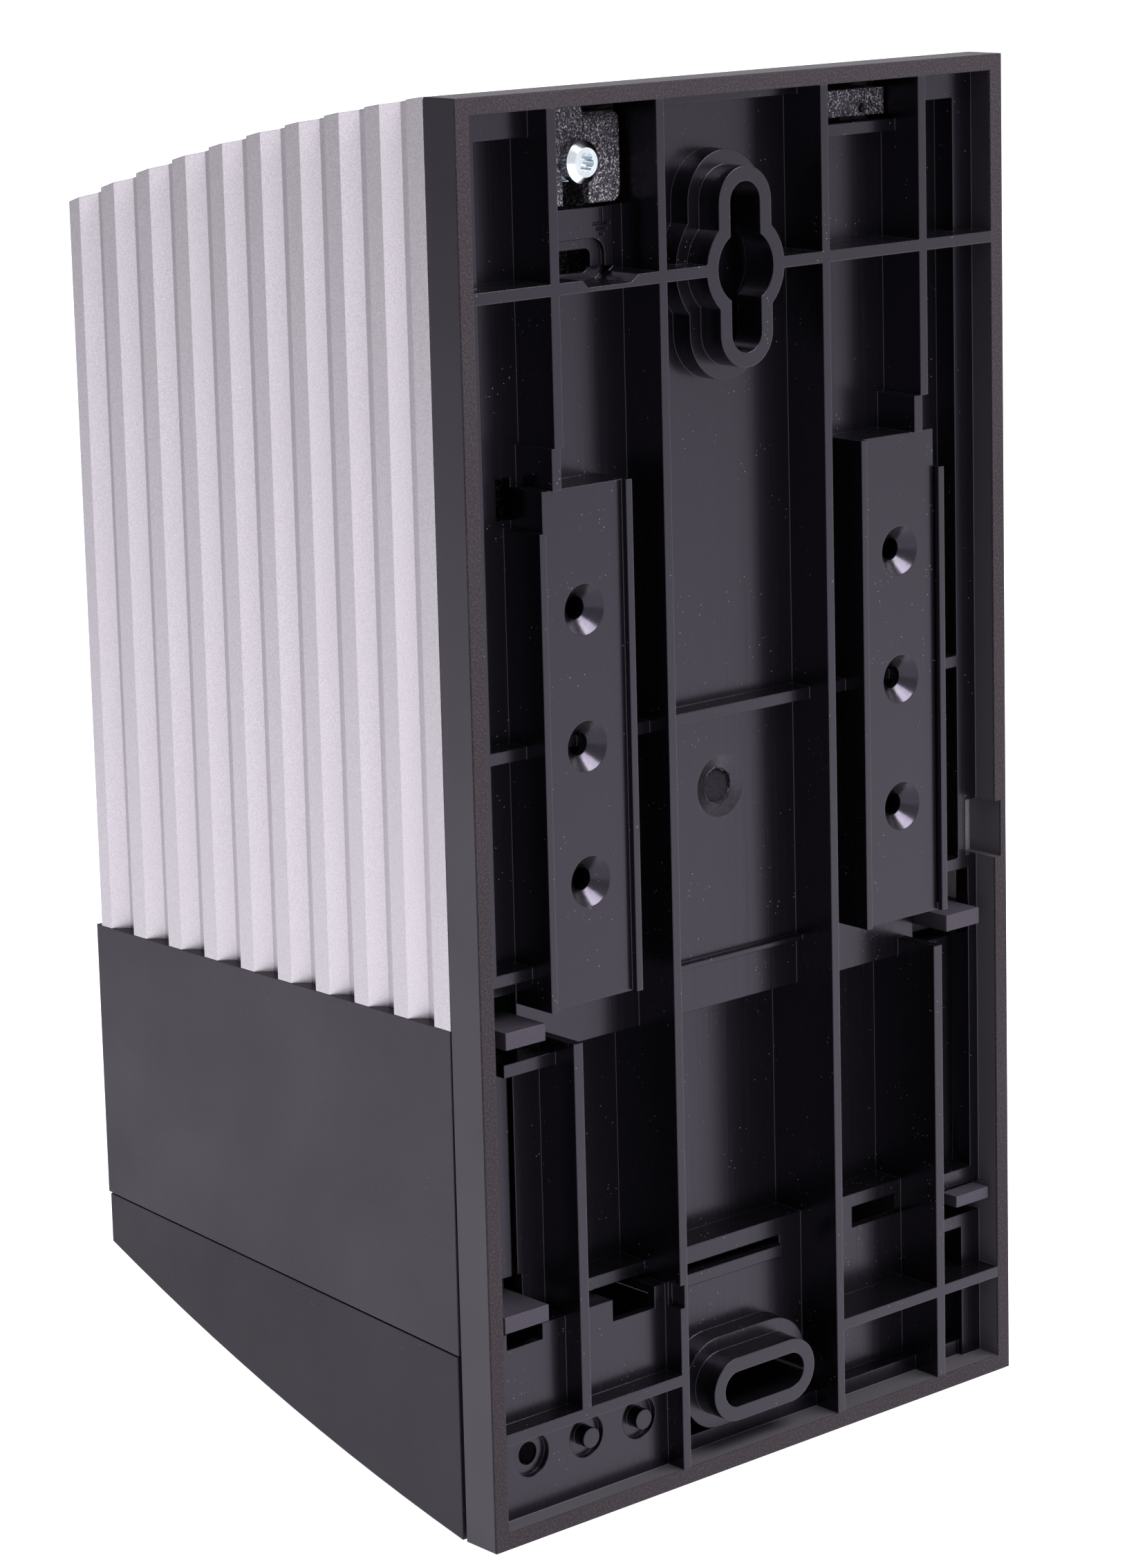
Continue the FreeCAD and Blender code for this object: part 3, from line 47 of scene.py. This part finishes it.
class Shader:
    """A material's node tree with short calls for the nodes used here."""

    def __init__(self, name, rough, metal=0.0):
        self.material = bpy.data.materials.new(name)
        self.material.use_nodes = True
        self.tree = self.material.node_tree
        self.bsdf = self.tree.nodes["Principled BSDF"]
        self.bsdf.inputs["Roughness"].default_value = rough
        self.bsdf.inputs["Metallic"].default_value = metal
        self.position = self.node("ShaderNodeTexCoord").outputs["Object"]

    def node(self, kind, **settings):
        """New node, with any of its properties set by name."""
        made = self.tree.nodes.new(kind)
        for key, value in settings.items():
            setattr(made, key, value)
        return made

    def link(self, source, target):
        self.tree.links.new(source, target)

    def stretched(self, scale):
        """Object coordinates scaled along each axis."""
        mapping = self.node("ShaderNodeMapping")
        mapping.inputs["Scale"].default_value = scale
        self.link(self.position, mapping.inputs["Vector"])
        return mapping.outputs["Vector"]

    def noise(self, scale, detail=2.0, rough=0.5, stretch=None):
        made = self.node("ShaderNodeTexNoise")
        made.inputs["Scale"].default_value = scale
        made.inputs["Detail"].default_value = detail
        made.inputs["Roughness"].default_value = rough
        self.link(self.stretched(stretch) if stretch else self.position, made.inputs["Vector"])
        return made.outputs["Fac"]

    def spots(self, scale):
        """Distance to the nearest of many scattered points."""
        made = self.node("ShaderNodeTexVoronoi")
        made.inputs["Scale"].default_value = scale
        self.link(self.position, made.inputs["Vector"])
        return made.outputs["Distance"]

    def ramp(self, source, low, high, first, last):
        """Value from first to last as source goes from low to high."""
        made = self.node("ShaderNodeMapRange")
        for key, value in zip(RANGE_SOCKETS, (low, high, first, last)):
            made.inputs[key].default_value = value
        self.link(source, made.inputs["Value"])
        return made.outputs["Result"]

    def math(self, kind, a, b=0):
        """One operation on numbers or outputs; those with one input leave out b."""
        made = self.node("ShaderNodeMath", operation=kind)
        for k, value in enumerate((a, b)):
            if isinstance(value, (int, float)):
                made.inputs[k].default_value = value
            else:
                self.link(value, made.inputs[k])
        return made.outputs[0]

    def mix(self, factor, a, b):
        """Colour mix; a and b are colours or outputs."""
        made = self.node("ShaderNodeMix", data_type="RGBA")
        self.link(factor, made.inputs["Factor"])
        for socket, value in (("A", a), ("B", b)):
            target = [s for s in made.inputs if s.name == socket and s.type == "RGBA"][0]
            if isinstance(value, tuple):
                target.default_value = (*value, 1.0)
            else:
                self.link(value, target)
        return [s for s in made.outputs if s.type == "RGBA"][0]

    def colour(self, value):
        """Base colour from a colour or an output."""
        if isinstance(value, tuple):
            self.bsdf.inputs["Base Color"].default_value = (*value, 1.0)
        else:
            self.link(value, self.bsdf.inputs["Base Color"])

    def roughness(self, value):
        """Roughness from an output."""
        self.link(value, self.bsdf.inputs["Roughness"])

    def bump(self, *layers, edge=0.0):
        """Layers of (height, strength, distance in metres) over edges rounded by a radius."""
        normal = None
        if edge:
            rounded = self.node("ShaderNodeBevel", samples=BEVEL_SAMPLES)
            rounded.inputs["Radius"].default_value = edge
            normal = rounded.outputs["Normal"]
        for height, strength, distance in layers:
            made = self.node("ShaderNodeBump")
            made.inputs["Strength"].default_value = strength
            made.inputs["Distance"].default_value = distance
            self.link(height, made.inputs["Height"])
            if normal is not None:
                self.link(normal, made.inputs["Normal"])
            normal = made.outputs["Normal"]
        self.link(normal, self.bsdf.inputs["Normal"])


# ---------------------------------------------------------------- materials

PURPLE_SHEEN = (0.67, 0.595, 0.79)
DUST = (0.22, 0.205, 0.22)
EDGE = 0.3 * MM
METAL_EDGE = 0.2 * MM
DIMPLE = (-0.3 * MM, -96.1 * MM)
RIM_BAND = 3.1 * MM
WALL_SIDE = -0.4 * MM


def silver_lacquer():
    """Satin silver finish with a fine metallic grain."""
    s = Shader("silver_lacquer", 0.4, 0.8)
    grain = s.noise(3600, 3.0, 0.7)
    patch = s.noise(35, 3.0)
    dark, light, clouded = (0.43, 0.40, 0.44), (0.60, 0.565, 0.615), (0.49, 0.457, 0.50)
    tone = s.mix(s.ramp(grain, 0.36, 0.64, 0.0, 1.0), dark, light)
    s.colour(s.mix(s.ramp(patch, 0.3, 0.7, 0.0, 0.3), tone, clouded))
    s.roughness(s.ramp(grain, 0.3, 0.7, 0.36, 0.5))
    s.bump((grain, 0.35, 0.06 * MM), edge=METAL_EDGE)
    return s.material


def plastic_skin(s, base, sheen, dust=0.62):
    """Fine moulded grain, faint cloudiness and dust specks on a black plastic."""
    s.bsdf.inputs["Specular IOR Level"].default_value = sheen
    s.bsdf.inputs["Specular Tint"].default_value = (*PURPLE_SHEEN, 1.0)
    grain = s.noise(3000, 2.0, 0.55)
    cloud = s.noise(28, 4.0, 0.6)
    lighter = tuple(c * 1.8 for c in base)
    tone = s.mix(s.ramp(cloud, 0.3, 0.75, 0.0, 0.7), base, lighter)
    speck = s.ramp(s.spots(900), 0.0, 0.12, 1.0, 0.0)
    rare = s.ramp(s.noise(140, 1.0), dust, dust + 0.08, 0.0, 1.0)
    return grain, cloud, s.mix(s.math("MULTIPLY", speck, rare), tone, DUST)


def black_plastic(name, rough=0.5, base=(0.011, 0.0095, 0.0125), sheen=0.6):
    """Textured black plastic of the outer mouldings."""
    s = Shader(name, rough)
    grain, cloud, tone = plastic_skin(s, base, sheen)
    s.colour(s.mix(s.ramp(grain, 0.4, 0.7, 0.0, 0.5), tone, tuple(c * 2.2 for c in base)))
    s.roughness(s.ramp(cloud, 0.3, 0.7, rough - 0.05, rough + 0.08))
    s.bump((grain, 0.45, 0.06 * MM), edge=EDGE)
    return s.material


def frame_masks(s, x, y, z):
    """The outer frame as a whole, and its rubbed face that lies on the wall."""
    across = s.math("GREATER_THAN", s.math("ABSOLUTE", x), CAD_BOX[1].x - RIM_BAND)
    up = s.math("GREATER_THAN", z, CAD_BOX[1].z - RIM_BAND)
    down = s.math("LESS_THAN", z, CAD_BOX[0].z + RIM_BAND)
    frame_mask = s.math("MAXIMUM", across, s.math("MAXIMUM", up, down))
    return frame_mask, s.math("MULTIPLY", frame_mask, s.math("GREATER_THAN", y, WALL_SIDE))


def frame_colour(s, grain, z, rubbed):
    """Textured frame with painted light that makes it lighter towards the foot, and brown
    scuffs on the rubbed face.
    """
    tone = s.mix(s.ramp(grain, 0.4, 0.7, 0.0, 0.5), (0.006, 0.0052, 0.0067),
                 (0.015, 0.0135, 0.0165))
    # painted light: the frame's colour is made lighter towards the foot, standing in for the
    # light that falls there
    tone = s.mix(s.ramp(z, 20 * MM, -100 * MM, 0.0, 1.0), tone, (0.036, 0.033, 0.038))
    tone = s.mix(rubbed, tone, (0.004, 0.003, 0.003))
    worn = s.ramp(s.noise(2600, 3.0, 0.7), 0.46, 0.66, 0.0, 0.9)
    return s.mix(s.math("MULTIPLY", rubbed, worn), tone, (0.03, 0.021, 0.017))


def ribbed_plastic():
    """Back plate: polished between the ribs, textured and rubbed on the outer frame."""
    s = Shader("ribbed_plastic", 0.24)
    grain, cloud, tone = plastic_skin(s, (0.0009, 0.0008, 0.0011), 0.53, 0.55)
    split = s.node("ShaderNodeSeparateXYZ")
    s.link(s.position, split.inputs["Vector"])
    x, y, z = split.outputs
    frame_mask, rubbed = frame_masks(s, x, y, z)
    tone, crater = dimple_marks(s, tone, x, z)
    s.colour(s.mix(frame_mask, tone, frame_colour(s, grain, z, rubbed)))
    drag = s.noise(1.0, 3.0, 0.6, (1600, 1600, 18))
    inner_rough = s.ramp(drag, 0.3, 0.7, 0.22, 0.29)
    inner_rough = s.math("ADD", inner_rough, s.math("MULTIPLY", crater, 0.6))
    outer_rough = s.math("ADD", s.ramp(cloud, 0.3, 0.7, 0.46, 0.56),
                         s.math("MULTIPLY", rubbed, 0.26))
    lift = s.math("MULTIPLY", frame_mask, s.math("SUBTRACT", outer_rough, inner_rough))
    s.roughness(s.math("ADD", inner_rough, lift))
    fine = s.math("MULTIPLY", grain, s.math("ADD", s.math("MULTIPLY", frame_mask, 0.9), 0.06))
    rough_core = s.math("MULTIPLY", s.noise(1100, 4.0, 0.7), crater)
    pitted = s.math("MULTIPLY", s.noise(1700, 3.0, 0.6), rubbed)
    s.bump((fine, 0.5, 0.06 * MM), (drag, 0.07, 0.02 * MM), (pitted, 0.6, 0.25 * MM),
           (rough_core, 1.0, 1.5 * MM), edge=EDGE)
    return s.material


def dimple_marks(s, tone, x, z):
    """Torn moulding gate in the middle of the plate: a dark core in a scuffed ring."""
    dx = s.math("SUBTRACT", x, DIMPLE[0])
    dz = s.math("SUBTRACT", z, DIMPLE[1])
    away = s.math("SQRT", s.math("ADD", s.math("MULTIPLY", dx, dx), s.math("MULTIPLY", dz, dz)))
    ragged = s.math("ADD", away, s.ramp(s.noise(420, 3.0), 0.3, 0.7, -0.6 * MM, 0.6 * MM))
    core = s.ramp(ragged, 2.8 * MM, 3.4 * MM, 1.0, 0.0)
    ring = s.math("MULTIPLY", s.ramp(away, 5.0 * MM, 6.4 * MM, 1.0, 0.0),
                  s.ramp(s.noise(1500, 3.0, 0.7), 0.35, 0.65, 0.2, 1.0))
    scuffed = s.mix(ring, tone, (0.010, 0.009, 0.011))
    return s.mix(core, scuffed, (0.0015, 0.0013, 0.0013)), core


def wrinkle_coat():
    """Black wrinkle powder coat, lighter on its crests, with painted highlights: bright specks
    in its colour that stand in for glints.
    """
    s = Shader("wrinkle_coat", 0.34)
    s.bsdf.inputs["Specular Tint"].default_value = (*PURPLE_SHEEN, 1.0)
    crest = s.noise(1500, 3.0, 0.6)
    # painted highlight: scattered bright specks painted into the colour as glints
    painted_glint = s.ramp(s.noise(2700, 2.0, 0.6), 0.54, 0.66, 0.0, 1.0)
    tone = s.mix(s.ramp(crest, 0.4, 0.7, 0.0, 1.0), (0.010, 0.009, 0.011),
                 (0.05, 0.046, 0.053))
    s.colour(s.mix(painted_glint, tone, (0.34, 0.315, 0.35)))
    s.roughness(s.ramp(crest, 0.3, 0.7, 0.42, 0.24))
    s.bump((crest, 1.0, 0.6 * MM), edge=EDGE)
    return s.material


def simple(name, base, rough, metal=0.0, scale=900, contrast=0.25, depth=0.03 * MM):
    """Plain stock finish with its own fine grain and slight tone changes."""
    s = Shader(name, rough, metal)
    grain = s.noise(scale, 3.0)
    dark = tuple(c * (1 - contrast) for c in base)
    s.colour(s.mix(s.ramp(grain, 0.3, 0.7, 0.0, 1.0), dark, base))
    s.roughness(s.ramp(grain, 0.3, 0.7, rough * 0.85, min(1.0, rough * 1.2)))
    s.bump((grain, 0.3, depth))
    return s.material


MATERIALS = {
    "black_plastic": black_plastic("black_plastic"),
    "ribbed_plastic": ribbed_plastic(),
    "cast_silver": silver_lacquer(),
    "cover_plastic": black_plastic("cover_plastic", 0.46, (0.008, 0.0068, 0.009), 0.35),
    "black_steel": wrinkle_coat(),
    "zinc_steel": simple("zinc_steel", (0.60, 0.65, 0.69), 0.14, 1.0, 500, 0.2),
    "insert_brass": simple("insert_brass", (0.75, 0.55, 0.25), 0.35, 1.0),
    "circuit_board": simple("circuit_board", (0.03, 0.16, 0.07), 0.35),
    "component_black": simple("component_black", (0.03, 0.03, 0.03), 0.5),
    "terminal_green": simple("terminal_green", (0.06, 0.28, 0.10), 0.4),
    "ferrite": simple("ferrite", (0.06, 0.06, 0.065), 0.6),
    "choke_powder": simple("choke_powder", (0.42, 0.36, 0.07), 0.5),
    "winding_tape": simple("winding_tape", (0.62, 0.43, 0.06), 0.3),
    "copper_wire": simple("copper_wire", (0.72, 0.30, 0.12), 0.28, 0.9),
    "capacitor_sleeve": simple("capacitor_sleeve", (0.03, 0.05, 0.13), 0.3),
    "film_box": simple("film_box", (0.55, 0.53, 0.48), 0.45),
    "clear_lens": simple("clear_lens", (0.75, 0.88, 0.78), 0.15),
    "fuse_glass": simple("fuse_glass", (0.8, 0.83, 0.8), 0.12),
    "thermal_grey": simple("thermal_grey", (0.36, 0.4, 0.46), 0.75),
    "clamp_alu": simple("clamp_alu", (0.6, 0.6, 0.62), 0.35, 1.0),
}

OWN_FINISH = {"connection_cover": "cover_plastic"}


def dress_cad():
    """Give every CAD node the material of its slot, or a finish of its own."""
    for name, thing in NODES.items():
        thing.data.materials.clear()
        thing.data.materials.append(MATERIALS[OWN_FINISH.get(name, SLOTS[name])])


# ---------------------------------------------------------------- studio

CAMERA_PLACE = (0.535485, 0.568627, 0.087054)
CAMERA_TURN = (79.2281, 1.1886, 137.7552)
CAMERA_LENS = 101.276
CAMERA_SHIFT = (-0.0593, -0.1116)
FLOOR_HEIGHT = CAD_BOX[0].z - 0.6 * MM
FLOOR_REACH = 12
KEY_PLACE = (-0.24, 0.55, 0.88)
KEY_AIM = (0, 0, -0.09)
KEY_SIZE = (1.0, 0.5)
KEY_POWER = 30
CAMERA_SIDE = (0.68, 0.73, 0)
DARK_SIDE = (0.85, -0.53, 0)
FLOOR_LEVELS = {"dark": (0.55, 1.95, 1.05, 0.2), "bright": (0.1, 0.9, 1.0, 1.3)}
SKY_LEVELS = {"dark": (0.1, 0.8, 1.02, 0.15), "bright": (0.2, 0.8, 1.0, 1.15)}


def make_camera():
    """Camera at the place solved from the photo; CAMERA_TURN is in degrees."""
    data = bpy.data.cameras.new("camera")
    data.lens = CAMERA_LENS
    data.sensor_width = 36.0
    data.sensor_fit = "AUTO"
    data.shift_x, data.shift_y = CAMERA_SHIFT
    data.clip_start, data.clip_end = 0.01, 50.0
    camera = bpy.data.objects.new("camera", data)
    camera.location = CAMERA_PLACE
    camera.rotation_euler = [math.radians(a) for a in CAMERA_TURN]
    bpy.context.collection.objects.link(camera)
    bpy.context.scene.camera = camera


def make_key_light():
    """One wide soft light overhead."""
    data = bpy.data.lights.new("key", "AREA")
    data.shape = "RECTANGLE"
    data.size, data.size_y = KEY_SIZE
    data.energy = KEY_POWER
    lamp = bpy.data.objects.new("key", data)
    lamp.location = KEY_PLACE
    beam = Vector(KEY_AIM) - Vector(KEY_PLACE)
    lamp.rotation_euler = beam.to_track_quat("-Z", "Y").to_euler()
    bpy.context.collection.objects.link(lamp)


def level_along(tree, source, direction, steps):
    """Smooth step (from, to, first, last) over the distance along a direction."""
    along = tree.nodes.new("ShaderNodeVectorMath")
    along.operation = "DOT_PRODUCT"
    along.inputs[1].default_value = direction
    tree.links.new(source, along.inputs[0])
    level = tree.nodes.new("ShaderNodeMapRange")
    level.interpolation_type = "SMOOTHSTEP"
    for key, value in zip(RANGE_SOCKETS, steps):
        level.inputs[key].default_value = value
    tree.links.new(along.outputs["Value"], level.inputs["Value"])
    return level.outputs["Result"]


def glow(tree, source, levels, target):
    """Light level that falls towards the dark side and rises towards the camera's side."""
    place = tree.nodes.new("ShaderNodeTexCoord").outputs[source]
    product = tree.nodes.new("ShaderNodeMath")
    product.operation = "MULTIPLY"
    fall = level_along(tree, place, DARK_SIDE, levels["dark"])
    rise = level_along(tree, place, CAMERA_SIDE, levels["bright"])
    tree.links.new(fall, product.inputs[0])
    tree.links.new(rise, product.inputs[1])
    tree.links.new(product.outputs[0], target)


def light_table():
    """Pale glowing paper under and behind the object."""
    paper = simple("floor_paper", (0.35, 0.35, 0.355), 0.9, 0.0, 60, 0.02, 0.1 * MM)
    tree = paper.node_tree
    bsdf = tree.nodes["Principled BSDF"]
    bsdf.inputs["Emission Color"].default_value = (0.97, 0.97, 1.0, 1.0)
    glow(tree, "Object", FLOOR_LEVELS, bsdf.inputs["Emission Strength"])
    return paper


def studio_sky():
    """White room that darkens towards one side."""
    world = bpy.context.scene.world or bpy.data.worlds.new("world")
    bpy.context.scene.world = world
    world.use_nodes = True
    tree = world.node_tree
    background = tree.nodes["Background"]
    background.inputs["Color"].default_value = (1.0, 0.985, 1.0, 1)
    glow(tree, "Generated", SKY_LEVELS, background.inputs["Strength"])


def make_studio():
    """Glowing floor, white room and the key light, with no tone curve."""
    mesh = bpy.data.meshes.new("floor")
    form = bmesh.new()
    bmesh.ops.create_grid(form, x_segments=1, y_segments=1, size=FLOOR_REACH)
    form.to_mesh(mesh)
    form.free()
    floor = bpy.data.objects.new("floor", mesh)
    floor.location = (0, 0, FLOOR_HEIGHT)
    bpy.context.collection.objects.link(floor)
    mesh.materials.append(light_table())
    studio_sky()
    make_key_light()
    bpy.context.scene.view_settings.view_transform = "Standard"
    bpy.context.scene.view_settings.look = "None"


dress_cad()
make_studio()
make_camera()
